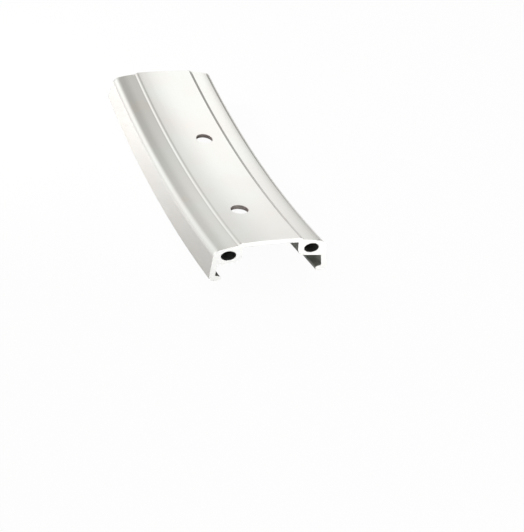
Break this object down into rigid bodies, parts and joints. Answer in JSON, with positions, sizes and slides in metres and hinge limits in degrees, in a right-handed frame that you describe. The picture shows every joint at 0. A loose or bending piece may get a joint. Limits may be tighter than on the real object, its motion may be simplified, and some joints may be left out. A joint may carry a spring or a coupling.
{
  "type": "bicycle rim section",
  "caption": "Sawn length of hooked single-wall aluminium bicycle rim: crowned spoke bed with staggered spoke holes, hollow pin bosses, and leaning brake tracks that hold a tyre.",
  "frame": {"origin": "on the surface it rests on, under the middle of its length and width", "axes": "+X along the wheel's axle, +Y along the rim away from the near saw cut, +Z towards the hub"},
  "size_m": [0.03, 0.0884, 0.0124],
  "materials": {
    "rim_aluminium": "pale satin extrusion, bright at the saw cuts"
  },
  "bodies": {
    "root": {"rim": "rim_aluminium"}
  },
  "joints": []
}
